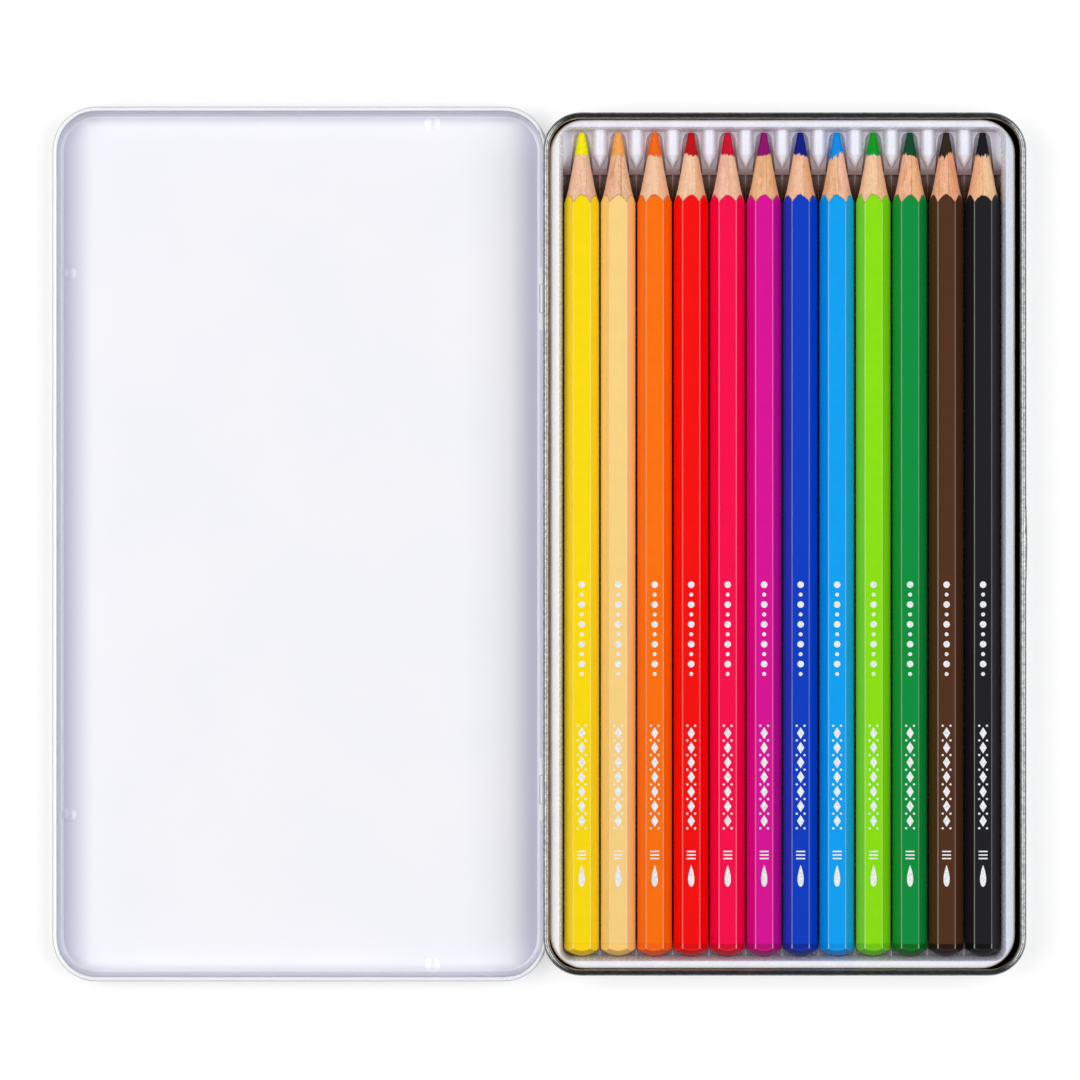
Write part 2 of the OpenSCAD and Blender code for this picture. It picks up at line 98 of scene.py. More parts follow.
class Nodes:
    """Adds nodes to a tree with short calls. A value is a number, a tuple or another node's socket."""

    def __init__(self, owner, output):
        owner.use_nodes = True
        self.tree = owner.node_tree
        self.tree.nodes.clear()
        self.output = self.tree.nodes.new(output)

    def add(self, kind, inputs=(), **settings):
        node = self.tree.nodes.new(kind)
        for key, value in settings.items():
            setattr(node, key, value)
        for key, value in inputs.items() if isinstance(inputs, dict) else enumerate(inputs):
            if isinstance(value, bpy.types.NodeSocket):
                self.tree.links.new(value, node.inputs[key])
            elif value is not None:
                node.inputs[key].default_value = value
        return node

    def math(self, operation, a, b=0.0, c=0.0):
        return self.add("ShaderNodeMath", [a, b, c], operation=operation).outputs[0]

    def vector(self, operation, a, b=(0.0, 0.0, 0.0), scale=1.0):
        return self.add("ShaderNodeVectorMath", [a, b, None, scale], operation=operation).outputs[0]

    def hypot(self, a, b):
        """The length of a straight line that runs a one way and b at a right angle to it."""
        return self.math("SQRT", self.math("ADD", self.math("MULTIPLY", a, a), self.math("MULTIPLY", b, b)))

    def away(self, value, middle):
        """How far a value lies from a middle, either way."""
        return self.math("ABSOLUTE", self.math("SUBTRACT", value, middle))

    def split(self, vector):
        return self.add("ShaderNodeSeparateXYZ", [vector]).outputs

    def join(self, x, y, z):
        return self.add("ShaderNodeCombineXYZ", [x, y, z]).outputs[0]

    def ease(self, value, low, high, start=0.0, end=1.0):
        """start below low, end above high, and smooth between them."""
        return self.add("ShaderNodeMapRange", [value, low, high, start, end],
                        interpolation_type="SMOOTHSTEP").outputs[0]

    def mix(self, share, a, b):
        """Colour a where share is 0, colour b where it is 1."""
        return self.add("ShaderNodeMix", {0: share, 6: a, 7: b}, data_type="RGBA").outputs[2]

    def blend(self, share, a, b):
        """Number a where share is 0, number b where it is 1."""
        return self.add("ShaderNodeMix", {0: share, 2: a, 3: b}, data_type="FLOAT").outputs[0]

    def noise(self, vector, scale, detail=2.0, roughness=0.5):
        return self.add("ShaderNodeTexNoise", {"Vector": vector, "Scale": scale, "Detail": detail,
                                               "Roughness": roughness}).outputs["Fac"]

    def millimetres(self, centre=(0, 0, 0)):
        """Object coordinates in millimetres from centre, which is in metres."""
        place = self.add("ShaderNodeTexCoord").outputs["Object"]
        return self.vector("SCALE", self.vector("SUBTRACT", place, tuple(centre)), scale=1 / MM)

    def normal(self):
        """The surface's own normal in object space."""
        normal = self.add("ShaderNodeNewGeometry").outputs["True Normal"]
        return self.add("ShaderNodeVectorTransform", [normal], vector_type="NORMAL", convert_from="WORLD",
                        convert_to="OBJECT").outputs[0]

    def bump(self, height, distance):
        """A bump from a height of 0 to 1, which stands for that distance in millimetres."""
        return self.add("ShaderNodeBump", {"Height": height, "Distance": distance * MM,
                                           "Strength": 1.0}).outputs[0]


def material(name):
    """A new material and the nodes of its tree."""
    made = bpy.data.materials.new(name)
    return made, Nodes(made, "ShaderNodeOutputMaterial")


def principled(n, **inputs):
    """Ends a material in one shader. An input is named with _ for its spaces."""
    shader = n.add("ShaderNodeBsdfPrincipled", {k.replace("_", " "): v for k, v in inputs.items()})
    n.tree.links.new(shader.outputs[0], n.output.inputs["Surface"])


def dress(piece, made):
    """Gives a piece that one material."""
    piece.data.materials.clear()
    piece.data.materials.append(made)


def add_object(name, data):
    """A new object in the scene with that data."""
    made = bpy.data.objects.new(name, data)
    bpy.context.scene.collection.objects.link(made)
    return made


def add_mesh(name, vertices, faces):
    """A new mesh object in the scene."""
    mesh = bpy.data.meshes.new(name)
    mesh.from_pydata(vertices, [], faces)
    mesh.validate()
    return add_object(name, mesh)


# The pencils

# The sharpened shape, in millimetres, as the source of the solids has it
POINT_R = 0.6
CONE = math.tan(math.radians(10.5))
CONE_L = 11.4
FLARE_R = 20.0
DOME_R = 5.0
# How far the second dip reaches from the rear, and the lead from the tip
DIP_L = 2.65
LEAD_END = 4.86
# How far the lead's edge swings, coarse and fine, for a tear of 1
COARSE_TEAR = 2.2
FINE_TEAR = 2.6
# How far the scallops stop short of the sharpened shape's own, towards the point
SCALLOP_SHORT = 0.27
# Half the width over which one coat gives way to the next
SHARP = 0.03
# Where the painted highlights on the hexagon's edges begin and end, in degrees from the middle of a flat
EDGE_HIGHLIGHT_SPAN = (27.0, 29.4)
# How much of the lacquer's colour the painted highlights keep, the rest being white
EDGE_HIGHLIGHT_TINT = 0.45
STREAK = srgb((206, 132, 90))
FLECK = srgb((128, 74, 48))
# How far apart the pencils take their noises, so that no two are alike
SEED_STEP = 7.3


def shade(colour, factor):
    """An sRGB colour darkened by that factor."""
    return (*(factor * c for c in srgb(colour)[:3]), 1.0)


def pencil_material(colour):
    """Lacquer, bare wood and lead, told apart by where they lie on the sharpened pencil."""
    body, dip, point, wood_left, wood_right, *wear = PENCILS[colour]
    seam, tear, lean, scallop_tear, streaked, flecked = wear
    seed = SEED_STEP * list(PENCILS).index(colour)
    low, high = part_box(colour + "_lead")
    coat_low, coat_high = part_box(colour + "_lacquer")
    centre = ((low.x + high.x) / 2, high.y, (low.z + high.z) / 2)
    half_flat = (coat_high.z - coat_low.z) / 2 / MM
    length = (high.y - coat_low.y) / MM

    made, n = material("pencil_" + colour)
    place = n.millimetres(centre)
    x, y, z = n.split(place)
    back = n.math("MULTIPLY", y, -1.0)
    angle = n.math("ARCTAN2", x, z)
    around = n.join(n.math("SINE", angle), n.math("COSINE", angle), seed)

    # Lead to wood: a torn line
    coarse = n.noise(around, scale=2.0, detail=2.0, roughness=0.6)
    fine = n.noise(around, scale=7.5, detail=3.0, roughness=0.75)
    lead_end = n.math("MULTIPLY_ADD", coarse, COARSE_TEAR * tear, LEAD_END - COARSE_TEAR / 2 * tear)
    lead_end = n.math("SUBTRACT", lead_end, FINE_TEAR / 2 * tear)
    lead_end = n.math("MULTIPLY_ADD", fine, FINE_TEAR * tear, lead_end)
    lead_end = n.math("MULTIPLY_ADD", x, -lean, lead_end)
    short_of = n.math("SUBTRACT", lead_end, back)
    lead = n.ease(short_of, -SHARP, SHARP)

    # Wood to lacquer: the scallops where the sharpened flare runs out through the flats
    facet = n.math("PINGPONG", n.math("ABSOLUTE", angle), math.radians(30))
    radius = n.math("DIVIDE", half_flat, n.math("COSINE", facet))
    rise = n.math("SUBTRACT", radius, POINT_R + CONE * CONE_L)
    root = n.math("SQRT", n.math("MULTIPLY_ADD", rise, 2 / FLARE_R, CONE * CONE))
    scallop = n.math("MULTIPLY_ADD", n.math("SUBTRACT", root, CONE), FLARE_R, CONE_L)
    torn = n.noise(around, scale=2.6, detail=4.0, roughness=0.62)
    torn = n.math("MULTIPLY_ADD", torn, scallop_tear, -0.5 * scallop_tear - SCALLOP_SHORT)
    past = n.math("SUBTRACT", back, n.math("ADD", scallop, torn))
    coat = n.ease(past, -SHARP, SHARP)
    # Darker lacquer just above the scallops' border, and darker wood just below it
    rim = n.ease(past, 0.08, 0.3, 1.0, 0.0)
    below_coat_edge = n.ease(past, -0.32, -0.05)

    # Wood: two slats glued at a seam, a wavering grain that runs lengthways, and dark pores
    waver = n.noise(n.vector("MULTIPLY", n.vector("ADD", place, (0.0, 3 * seed, 0.0)), (1.0, 0.35, 1.0)),
                    scale=0.55, detail=2.0)
    across = n.math("MULTIPLY_ADD", waver, 1.6, x)
    grain_place = n.join(across, n.math("MULTIPLY_ADD", y, 0.08, seed), z)
    grain = n.noise(grain_place, scale=3.4, detail=6.0, roughness=0.65)
    bands = n.noise(grain_place, scale=1.1, detail=2.0, roughness=0.5)
    pores = n.noise(n.vector("MULTIPLY", n.vector("ADD", place, (seed, 0.0, 0.0)), (1.0, 0.3, 1.0)),
                    scale=6.5, detail=2.0, roughness=0.6)
    mottle = n.noise(place, scale=1.3, detail=4.0, roughness=0.7)
    from_seam = n.math("SUBTRACT", n.math("MULTIPLY_ADD", waver, 0.5, x), seam + 0.25)
    wood = n.mix(n.ease(from_seam, -0.12, 0.12), srgb(wood_left), srgb(wood_right))
    speckle = n.noise(place, scale=5.5, detail=2.0, roughness=0.7)
    wood = n.mix(n.ease(mottle, 0.35, 0.72, 0.0, 0.16), wood, STREAK)
    wood = n.mix(n.ease(speckle, 0.4, 0.75, 0.0, 0.4), wood, STREAK)
    wood = n.mix(n.ease(grain, 0.42, 0.72, 0.0, 0.14 + 0.36 * streaked), wood, STREAK)
    wood = n.mix(n.ease(bands, 0.5, 0.68, 0.0, 0.55 * streaked), wood, STREAK)
    seam_line = n.ease(n.math("ABSOLUTE", from_seam), 0.03, 0.13, 0.5 * streaked, 0.0)
    wood = n.mix(seam_line, wood, FLECK)
    wood = n.mix(n.ease(pores, 0.64 - 0.05 * flecked, 0.74, 0.0, 0.25 + 0.5 * flecked), wood, FLECK)
    wood = n.mix(n.math("MULTIPLY", below_coat_edge, 0.3), wood, FLECK)

    # Lead, darker towards the wood and scratched lengthways
    streak = n.noise(n.vector("MULTIPLY", place, (1.0, 0.3, 1.0)), scale=3.0, detail=4.0, roughness=0.7)
    wax = n.mix(n.ease(streak, 0.35, 0.75, 0.0, 0.55), srgb(point), shade(point, 0.55))
    edge_of_lead = n.ease(short_of, 0.1, 0.5, 0.55, 0.0)
    wax = n.mix(edge_of_lead, wax, srgb(LEAD_RIM[colour]) if colour in LEAD_RIM else shade(point, 0.7))

    # Lacquer: a second dip at the rear end, painted highlights on the hexagon's edges, and painted shade on
    # the dome
    from_rear = n.math("SUBTRACT", length, back)
    off_axis = n.math("ADD", n.math("MULTIPLY", x, x), n.math("MULTIPLY", z, z))
    dome_y = n.math("SUBTRACT", DOME_R, n.math("SQRT", n.math("SUBTRACT", DOME_R * DOME_R, off_axis)))
    off_dome = n.math("SUBTRACT", from_rear, dome_y)
    # The rear dome, which is painted in shade
    dome = n.ease(off_dome, 0.06, 0.1, 1.0, 0.0)
    # A faint painted highlight line round the dome's border
    dome_edge_highlight = n.math("MULTIPLY", n.ease(off_dome, 0.06, 0.1), n.ease(off_dome, 0.2, 0.3, 1.0, 0.0))
    dipped = n.ease(n.math("MULTIPLY_ADD", waver, 0.3, from_rear), DIP_L + 0.1, DIP_L + 0.18, 1.0, 0.0)
    dip_line = n.ease(n.away(from_rear, DIP_L), 0.02, 0.14, 1.0, 0.0)
    # Painted highlights on the hexagon's edges, brighter as painted glints within the second dip
    edge = n.ease(facet, *(math.radians(a) for a in EDGE_HIGHLIGHT_SPAN))
    glint = n.math("MULTIPLY", edge, dipped)
    soft = n.noise(place, scale=0.35, detail=3.0)
    paint = n.mix(n.ease(soft, 0.3, 0.75, 0.0, 0.14), srgb(body), shade(body, 0.78))
    # Painted shade, darker towards the rear end
    paint = n.mix(n.ease(from_rear, 20.0, 110.0, 0.14, 0.0), paint, shade(body, 0.7))
    paint = n.mix(dipped, paint, srgb(dip))
    paint = n.mix(n.math("MULTIPLY", dip_line, 0.22), paint, shade(body, 0.55))
    # The painted highlights' colour: the lacquer's, lightened towards white
    light = (*(1.0 - EDGE_HIGHLIGHT_TINT + EDGE_HIGHLIGHT_TINT * c for c in srgb(body)[:3]), 1.0)
    paint = n.mix(n.math("MULTIPLY", edge, 0.24), paint, light)
    shining = n.math("MAXIMUM", n.math("MULTIPLY", glint, 0.4), n.math("MULTIPLY", dome_edge_highlight, 0.05))
    paint = n.mix(shining, paint, light)
    # Painted shade on the dome
    paint = n.mix(dome, paint, shade(dip, 0.72))
    paint = n.mix(n.math("MULTIPLY", rim, 0.6), paint, shade(body, 0.45))

    bare = n.mix(lead, wood, wax)
    wood_height = n.math("MULTIPLY", grain, n.math("SUBTRACT", 1.0, coat))
    principled(n, Base_Color=n.mix(coat, bare, paint),
               Roughness=n.blend(coat, n.blend(lead, 0.75, 0.5), 0.35), Specular_IOR_Level=0.12,
               Coat_Weight=n.math("MULTIPLY", coat, 0.45), Coat_Roughness=0.03,
               Normal=n.bump(wood_height, 0.06))
    return made


# How far the foil stands above its flat, and its thickness
FOIL_LIFT = 0.004
FOIL_T = 0.008
# The ornament: the number of each motif, its place along Y from the middle and its step, in millimetres
DOTS, DOTS_Y, DOTS_STEP = 10, -8.6, 2.1
DOT_SMALL_R, DOT_LARGE_R = 0.42, 0.7
LOZENGES, LOZENGES_Y, LOZENGES_STEP = 7, -40.0, 3.1
LOZENGE_HALF_W, LOZENGE_HALF_L = 0.78, 1.25
STUDS, STUDS_X, STUDS_Y, STUD_R = 8, 0.82, -38.45, 0.24
RULES, RULES_X, RULES_Y, RULES_STEP, RULE_T = 3, 0.95, -65.2, 0.75, 0.3
LEAF_Y, LEAF_HALF_W, LEAF_HALF_L = -70.2, 0.85, 2.3
DOT_CORNERS = 14
LEAF_CORNERS = 28


def foil_shapes():
    """Outlines of a plain ornament on the upper flat: dots, studded lozenges, three rules and a leaf."""
    shapes = []

    def turns(count):
        return [2 * math.pi * k / count for k in range(count)]

    def dot(x, y, r):
        shapes.append([(x + r * math.cos(a), y + r * math.sin(a)) for a in turns(DOT_CORNERS)])

    for k in range(DOTS):
        dot(0, DOTS_Y - DOTS_STEP * k, DOT_SMALL_R if k % 2 else DOT_LARGE_R)
    for k in range(LOZENGES):
        y = LOZENGES_Y - LOZENGES_STEP * k
        shapes.append([(0, y + LOZENGE_HALF_L), (-LOZENGE_HALF_W, y),
                       (0, y - LOZENGE_HALF_L), (LOZENGE_HALF_W, y)])
    for k in range(STUDS):
        for side in (-1, 1):
            dot(side * STUDS_X, STUDS_Y - LOZENGES_STEP * k, STUD_R)
    for k in range(RULES):
        y = RULES_Y - RULES_STEP * k
        shapes.append([(-RULES_X, y), (RULES_X, y), (RULES_X, y + RULE_T), (-RULES_X, y + RULE_T)])
    shapes.append([(math.sin(a) * LEAF_HALF_W * math.sin(a / 2), LEAF_Y + LEAF_HALF_L * math.cos(a))
                   for a in turns(LEAF_CORNERS)])
    return shapes


def foil(colour):
    """The silver ornament of one pencil, as plates eight microns thick on its upper flat."""
    low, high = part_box(colour + "_lacquer")
    centre_x = (low.x + high.x) / 2
    vertices, faces = [], []
    for outline in foil_shapes():
        first = len(vertices)
        count = len(outline)
        for z in (high.z + (FOIL_LIFT - FOIL_T) * MM, high.z + FOIL_LIFT * MM):
            vertices += [(centre_x + px * MM, py * MM, z) for px, py in outline]
        faces.append([first + count + k for k in range(count)])
        faces.append([first + k for k in reversed(range(count))])
        faces += [[first + k, first + (k + 1) % count, first + count + (k + 1) % count, first + count + k]
                  for k in range(count)]
    piece = add_mesh(colour + "_foil", vertices, faces)
    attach(piece, colour)
    return piece


FOIL_BRIGHT = (248, 250, 250)
FOIL_DULL = (206, 210, 212)


def foil_material():
    """Silver foil, rubbed dull in places."""
    made, n = material("silver_foil")
    place = n.millimetres()
    worn = n.noise(place, scale=2.5, detail=4.0, roughness=0.7)
    grey = n.mix(n.ease(worn, 0.35, 0.7), srgb(FOIL_BRIGHT), srgb(FOIL_DULL))
    principled(n, Base_Color=grey, Metallic=0.1, Roughness=n.ease(worn, *EVEN, 0.28, 0.5))
    return made


# The tin, its lid and the tray

def inside_of_pan(n, place):
    """1 on faces that look into a pan that stands open side up, 0 on faces that look out of it."""
    x, y, _ = n.split(place)
    nx, ny, nz = n.split(n.normal())
    fx, fy, _ = n.split(n.vector("NORMALIZE", n.join(x, y, 0.0)))
    outward = n.math("ADD", n.math("MULTIPLY", nx, fx), n.math("MULTIPLY", ny, fy))
    return n.ease(n.math("SUBTRACT", n.math("MULTIPLY", nz, 2.0), outward), -0.05, 0.05)


ENAMEL = (250, 250, 254)
STEEL_DULL = (168, 172, 172)
STEEL_BRIGHT = (202, 204, 202)
ROLL_DULL = (128, 130, 130)
ROLL_BRIGHT = (170, 172, 170)
ROLL_DARK_REFLECTION = (46, 48, 48)
GOLD_LIGHT = (200, 170, 112)
GOLD_DARK = (182, 148, 90)
# The roll's painted dark reflection line lies where its surface leans so far from straight up, as the Z of
# its normal
ROLL_DARK_REFLECTION_Z = 0.9
# What lies beyond this X is a knuckle. The roll gets uneven between these distances from the middle.
KNUCKLE_X = -51.1
UNEVEN_Y = (80.0, 90.0)


def tin_material():
    """Tinplate: bare outside, gold lacquered inside and enamelled on the knuckles; the roll is painted
    darker, as painted reflection.
    """
    made, n = material("tinplate")
    place = n.millimetres()
    x, y, z = n.split(place)
    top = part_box("base_tin")[1].z / MM
    roll = n.ease(z, top - 1.5, top - 1.3)
    inside = n.math("MULTIPLY", inside_of_pan(n, place), n.ease(z, top - 1.2, top - 0.6, 1.0, 0.0))
    grain = n.noise(place, scale=3.2, detail=5.0, roughness=0.7)
    cloud = n.noise(place, scale=0.12, detail=3.0)
    steel = n.mix(n.ease(grain, *EVEN), srgb(STEEL_DULL), srgb(STEEL_BRIGHT))
    # The roll is painted darker than the wall's steel, as painted reflection of a dark room
    beads = n.noise(place, scale=1.3, detail=4.0, roughness=0.75)
    dark = n.mix(n.ease(beads, 0.35, 0.65), srgb(ROLL_DULL), srgb(ROLL_BRIGHT))
    gold = n.mix(n.ease(cloud, *EVEN), srgb(GOLD_LIGHT), srgb(GOLD_DARK))
    nz = n.split(n.normal())[2]
    # A painted dark reflection line along the roll
    reflected_dark_line = n.math("MULTIPLY", roll, n.ease(n.away(nz, ROLL_DARK_REFLECTION_Z), 0.02, 0.06, 0.7, 0.0))
    dark = n.mix(reflected_dark_line, dark, srgb(ROLL_DARK_REFLECTION))
    metal = n.mix(inside, n.mix(roll, steel, dark), gold)
    ends = n.math("MULTIPLY", beads, n.ease(n.math("ABSOLUTE", y), *UNEVEN_Y))
    knuckle = n.ease(x, KNUCKLE_X - 0.02, KNUCKLE_X + 0.02, 1.0, 0.0)
    principled(n, Base_Color=n.mix(knuckle, metal, srgb(ENAMEL)), Metallic=n.math("SUBTRACT", 1.0, knuckle),
               Roughness=n.blend(knuckle, n.ease(grain, *EVEN, 0.1, 0.2), 0.38),
               Normal=n.bump(ends, 0.01))
    return made


LID_CORNER_R = 9.35
# The lid's roll begins here, above the table
LID_ROLL_Z = 4.6
# How far in from the outline a painted highlight line runs, above the fold between panel and wall
HIGHLIGHT_INWARD = 2.1
ENAMEL_CLOUD = (247, 248, 253)
ENAMEL_WALL_SHADE = (210, 210, 231)
ENAMEL_HIGHLIGHT = (254, 254, 255)
ENAMEL_ROLL_SHADE = (152, 154, 166)
LID_STEEL_DULL = (176, 180, 180)
LID_STEEL_BRIGHT = (206, 208, 206)


def from_outline(n, x, y, half_w, half_l, corner_r):
    """Distance inwards from a rectangle's outline with round corners."""
    qx = n.math("SUBTRACT", n.math("ABSOLUTE", x), half_w - corner_r)
    qy = n.math("SUBTRACT", n.math("ABSOLUTE", y), half_l - corner_r)
    ox, oy = n.math("MAXIMUM", qx, 0.0), n.math("MAXIMUM", qy, 0.0)
    straight = n.math("MINIMUM", n.math("MAXIMUM", qx, qy), 0.0)
    return n.math("SUBTRACT", corner_r, n.math("ADD", n.hypot(ox, oy), straight))


def lid_material():
    """White enamel inside and over the roll, bare tinplate outside."""
    made, n = material("white_enamel")
    low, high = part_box("lid")
    place = n.millimetres(((low.x + high.x) / 2, 0, 0))
    x, y, z = n.split(place)
    nz = n.split(n.normal())[2]
    roll = n.ease(z, LID_ROLL_Z, LID_ROLL_Z + 0.15)
    white = n.math("MAXIMUM", inside_of_pan(n, place), roll)
    cloud = n.noise(place, scale=0.03, detail=3.0)
    grain = n.noise(place, scale=1.6, detail=4.0, roughness=0.6)
    # Painted lavender shade on the panel along its walls, below the roll
    half_w, half_l = (high.x - low.x) / 2 / MM, high.y / MM
    to_side = n.math("SUBTRACT", half_w, n.math("ABSOLUTE", x))
    to_end = n.math("SUBTRACT", half_l, n.math("ABSOLUTE", y))
    near_side = n.ease(to_side, 2.6, 9.0, 1.0, 0.0)
    near_end = n.ease(to_end, 1.6, 4.5, 0.7, 0.0)
    wall_shade = n.math("MULTIPLY", n.math("MAXIMUM", near_side, near_end), n.ease(z, 4.2, 5.4, 1.0, 0.0))
    enamel = n.mix(n.ease(cloud, *EVEN), srgb(ENAMEL), srgb(ENAMEL_CLOUD))
    enamel = n.mix(n.math("MULTIPLY", wall_shade, 0.8), enamel, srgb(ENAMEL_WALL_SHADE))
    # A painted highlight line runs above the fold between panel and wall
    inward = from_outline(n, x, y, half_w, half_l, LID_CORNER_R)
    highlight_line = n.ease(n.away(inward, HIGHLIGHT_INWARD), 0.04, 0.16, 0.75, 0.0)
    enamel = n.mix(n.math("MULTIPLY", highlight_line, n.math("SUBTRACT", 1.0, roll)), enamel, srgb(ENAMEL_HIGHLIGHT))
    # Painted shade on the roll's steep sides
    roll_shade = n.math("MULTIPLY", roll, n.ease(nz, 0.45, 0.95, 0.9, 0.0))
    enamel = n.mix(roll_shade, enamel, srgb(ENAMEL_ROLL_SHADE))
    bare = n.mix(n.ease(grain, *EVEN), srgb(LID_STEEL_DULL), srgb(LID_STEEL_BRIGHT))
    principled(n, Base_Color=n.mix(white, bare, enamel), Metallic=n.math("SUBTRACT", 1.0, white),
               Roughness=n.blend(white, 0.42, 0.3), Coat_Weight=n.math("MULTIPLY", white, 0.8),
               Coat_Roughness=0.04, Normal=n.bump(grain, 0.002))
    return made


# The pencils' pitch, where the shelf begins and where the middle of each groove's round end lies
PITCH = 7.72
SHELF_Y = 77.9
GROOVE_END_Y = 85.3
# The groove's half width at its painted highlight rim
GROOVE_R = 1.92
SHELF_SHADE_LOW = (146, 130, 132)
SHELF_SHADE_HIGH = (206, 201, 212)
RIDGE_LIGHT = (234, 235, 246)
GROOVE = (240, 239, 247)
GROOVE_RIM_HIGHLIGHT = (236, 236, 244)
BED_SHADE = (142, 116, 98)
BED_REAR_SHADE = (226, 222, 234)
BED_CREST_SHADE = (62, 48, 40)
BED_BY_SHELF_SHADE = (176, 158, 156)
WALL = (220, 219, 229)
FLANGE = (242, 243, 251)
FLANGE_CLOUD = (236, 238, 248)
FLANGE_LEFT_LIGHT = (250, 251, 254)
FLANGE_RIGHT_SHADE = (214, 220, 235)


def tray_material():
    """Thin white plastic formed over a mould, uneven in gloss, with painted light and shade, darker the lower
    it lies.
    """
    made, n = material("white_plastic")
    low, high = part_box("insert_tray")
    place = n.millimetres(((low.x + high.x) / 2, 0, 0))
    x, y, z = n.split(place)
    wave = n.noise(place, scale=0.25, detail=2.0)
    fine = n.noise(place, scale=1.5, detail=3.0)
    top = high.z / MM
    half_w = (high.x - low.x) / 2 / MM

    # Shelf: painted light on the pointed ridges, painted shade between them, a painted highlight rim round
    # each groove
    from_ridge = n.math("PINGPONG", n.math("ABSOLUTE", x), PITCH / 2)
    from_pencil = n.math("SUBTRACT", PITCH / 2, from_ridge)
    side = n.mix(n.ease(y, SHELF_Y + 0.5, SHELF_Y + 6.0), srgb(SHELF_SHADE_LOW), srgb(SHELF_SHADE_HIGH))
    core_w = n.ease(y, SHELF_Y + 1.2, SHELF_Y + 5.0, 0.1, 0.8)
    core = n.math("MULTIPLY", n.ease(n.math("DIVIDE", from_ridge, core_w), 0.2, 1.9, 1.0, 0.0),
                  n.ease(y, SHELF_Y + 1.2, SHELF_Y + 4.2))
    shelf = n.mix(core, side, srgb(RIDGE_LIGHT))
    past_end = n.math("MAXIMUM", n.math("SUBTRACT", y, GROOVE_END_Y), 0.0)
    in_groove = n.hypot(from_pencil, past_end)
    shelf = n.mix(n.ease(in_groove, 1.6, 1.9, 1.0, 0.0), shelf, srgb(GROOVE))
    rim = n.ease(n.away(in_groove, GROOVE_R), 0.04, 0.13, 0.7, 0.0)
    shelf = n.mix(rim, shelf, srgb(GROOVE_RIM_HIGHLIGHT))

    # Walls and bed: painted shade, darker lower down and on the bed's crests, paler at the rear end and by
    # the shelf
    deep_shade = n.mix(n.ease(y, -85.5, -83.0), srgb(BED_REAR_SHADE), srgb(BED_SHADE))
    crest_shade = n.math("MULTIPLY", n.ease(from_ridge, 0.15, 0.4, 0.85, 0.0), n.ease(z, 3.8, 4.2, 1.0, 0.0))
    crest_shade = n.math("MULTIPLY", crest_shade, n.ease(y, -84.0, -80.0))
    deep_shade = n.mix(crest_shade, deep_shade, srgb(BED_CREST_SHADE))
    deep_shade = n.mix(n.ease(y, SHELF_Y - 3.0, SHELF_Y, 0.0, 0.8), deep_shade, srgb(BED_BY_SHELF_SHADE))
    below = n.mix(n.ease(z, 3.0, top - 2.3), deep_shade, srgb(WALL))
    on_shelf = n.math("MULTIPLY", n.ease(y, SHELF_Y - 0.3, SHELF_Y + 0.3),
                      n.ease(n.math("ABSOLUTE", x), half_w - 2.9, half_w - 2.6, 1.0, 0.0))
    below = n.mix(on_shelf, below, shelf)

    flange = n.mix(n.ease(wave, *EVEN), srgb(FLANGE), srgb(FLANGE_CLOUD))
    # Painted light on the left flange and painted shade on the right one
    on_side = n.ease(n.math("ABSOLUTE", x), half_w - 4.0, half_w - 1.5)
    flange_light_and_shade = n.mix(n.ease(x, -10.0, 10.0), srgb(FLANGE_LEFT_LIGHT), srgb(FLANGE_RIGHT_SHADE))
    flange = n.mix(n.math("MULTIPLY", on_side, 0.8), flange, flange_light_and_shade)
    colour = n.mix(n.ease(z, top - 2.4, top - 1.4), below, flange)
    height = n.math("ADD", wave, n.math("MULTIPLY", fine, 0.15))
    principled(n, Base_Color=colour, Roughness=n.ease(fine, *EVEN, 0.2, 0.3), IOR=1.5,
               Normal=n.bump(height, 0.015))
    return made


WIRE_DULL = (150, 152, 154)
WIRE_BRIGHT = (190, 192, 194)


def wire_material():
    """Drawn steel wire, streaked along the hinge."""
    made, n = material("steel_wire")
    grain = n.noise(n.vector("MULTIPLY", n.millimetres(), (1.0, 0.1, 1.0)), scale=6.0, detail=3.0)
    principled(n, Base_Color=n.mix(n.ease(grain, *EVEN), srgb(WIRE_DULL), srgb(WIRE_BRIGHT)), Metallic=1.0,
               Roughness=n.ease(grain, *EVEN, 0.2, 0.35))
    return made


# The stage

FLOOR_HALF = 5.0
FLOOR_Z = -0.03 * MM
FLOOR_WHITE = (252, 252, 252)
# The share and the strength of the glow that the camera and mirrored rays see on the floor
FLOOR_GLOW = 0.5
FLOOR_GLOW_STRENGTH = 1.18


def floor():
    """A plain floor, which glows a little for the camera and in mirrors, to be white and keep its shadows."""
    corners = [(sx * FLOOR_HALF, sy * FLOOR_HALF, FLOOR_Z) for sx, sy in ((-1, -1), (1, -1), (1, 1), (-1, 1))]
    piece = add_mesh("floor", corners, [(0, 1, 2, 3)])
    made, n = material("floor_white")
    path = n.add("ShaderNodeLightPath").outputs
    seen = n.math("MAXIMUM", n.math("MAXIMUM", path["Is Camera Ray"], path["Is Glossy Ray"]),
                  path["Is Transmission Ray"])
    paper = n.add("ShaderNodeBsdfDiffuse", {"Color": srgb(FLOOR_WHITE)}).outputs[0]
    glow = n.add("ShaderNodeEmission", {"Color": (1, 1, 1, 1), "Strength": FLOOR_GLOW_STRENGTH}).outputs[0]
    mixed = n.add("ShaderNodeMixShader", [n.math("MULTIPLY", seen, FLOOR_GLOW), paper, glow]).outputs[0]
    n.tree.links.new(mixed, n.output.inputs["Surface"])
    dress(piece, made)


SOFTBOX_DISTANCE = 2.0
SOFTBOX_SIZE = 1.7


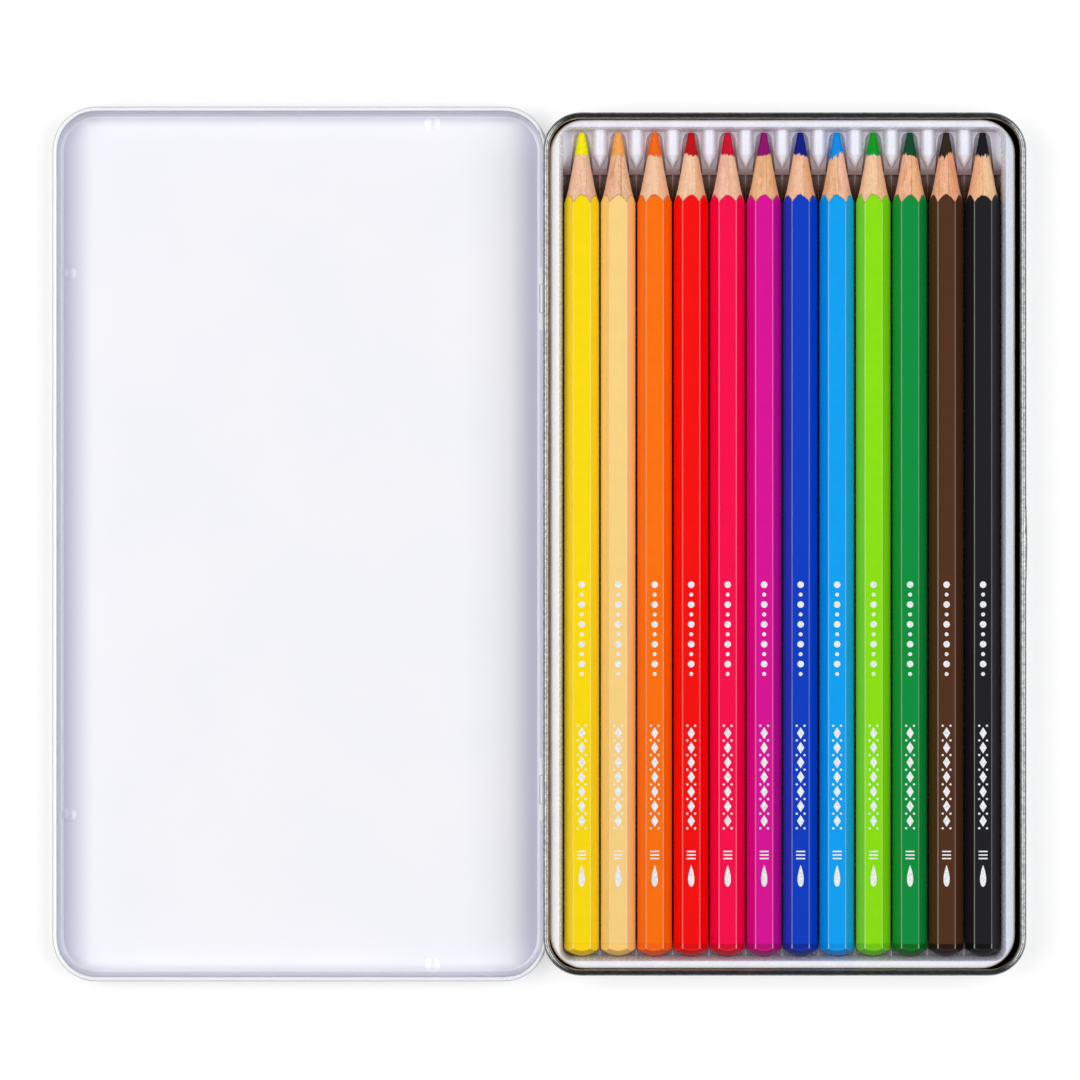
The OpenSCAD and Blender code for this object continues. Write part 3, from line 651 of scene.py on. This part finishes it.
def softbox(name, azimuth, elevation, power, colour):
    """A square lamp that looks at the object. Azimuth is from +Y, clockwise seen from above."""
    a, e = math.radians(azimuth), math.radians(elevation)
    direction = Vector((math.sin(a) * math.cos(e), math.cos(a) * math.cos(e), math.sin(e)))
    data = bpy.data.lights.new(name, "AREA")
    data.shape = "SQUARE"
    data.size = SOFTBOX_SIZE
    data.energy = power
    data.color = colour
    lamp = add_object(name, data)
    lamp.location = CENTRE + direction * SOFTBOX_DISTANCE
    lamp.rotation_mode = "QUATERNION"
    lamp.rotation_quaternion = direction.to_track_quat("Z", "Y")


# The sky's colours, as linear light
SKY_OVERHEAD = (0.03, 0.03, 0.036, 1)
SKY_AROUND = (0.15, 0.148, 0.16, 1)
SKY_BAND = (0.6, 0.59, 0.6, 1)


def sky():
    """A room that is dark overhead and dim around, with a pale band low on the left and right."""
    world = bpy.data.worlds.new("studio")
    bpy.context.scene.world = world
    n = Nodes(world, "ShaderNodeOutputWorld")
    x, _, z = n.split(n.add("ShaderNodeTexCoord").outputs["Generated"])
    around = n.mix(n.ease(z, 0.8, 0.93), SKY_AROUND, SKY_OVERHEAD)
    to_sides = n.ease(n.math("ABSOLUTE", x), 0.35, 0.85, 0.3, 1.0)
    low = n.math("MULTIPLY", n.ease(z, 0.1, 0.4, 1.0, 0.0), to_sides)
    light = n.add("ShaderNodeBackground", {"Color": n.mix(low, around, SKY_BAND), "Strength": 1.0})
    n.tree.links.new(light.outputs[0], n.output.inputs["Surface"])


# What one of the picture's pixels covers at the height of the pencils, and the point under the camera
PIXEL = 0.2116 * MM
PICTURE_SIDE = 1080
PENCILS_Z = 0.008
CAMERA_HEIGHT = 2.5
SENSOR_MM = 36
CENTRE = Vector((-0.05174, 0.00085, 0))


def camera():
    """Looks straight down from far away."""
    data = bpy.data.cameras.new("camera")
    data.sensor_width = SENSOR_MM
    data.lens = SENSOR_MM * (CAMERA_HEIGHT - PENCILS_Z) / (PICTURE_SIDE * PIXEL)
    piece = add_object("camera", data)
    piece.location = CENTRE + Vector((0, 0, CAMERA_HEIGHT))
    bpy.context.scene.camera = piece


bpy.context.scene.view_settings.view_transform = "Standard"
floor()
sky()
camera()
softbox("softbox_left", azimuth=-86, elevation=55, power=27.3, colour=(1.0, 0.985, 0.965))
softbox("softbox_right", azimuth=86, elevation=53, power=25.8, colour=(0.965, 0.98, 1.0))

dress(nodes["base_tin"], tin_material())
dress(nodes["lid"], lid_material())
dress(nodes["insert_tray"], tray_material())
dress(nodes["hinge_pins"], wire_material())
silver = foil_material()
for colour in PENCILS:
    skin = pencil_material(colour)
    for part in ("_casing", "_lead", "_lacquer"):
        dress(nodes[colour + part], skin)
    dress(foil(colour), silver)
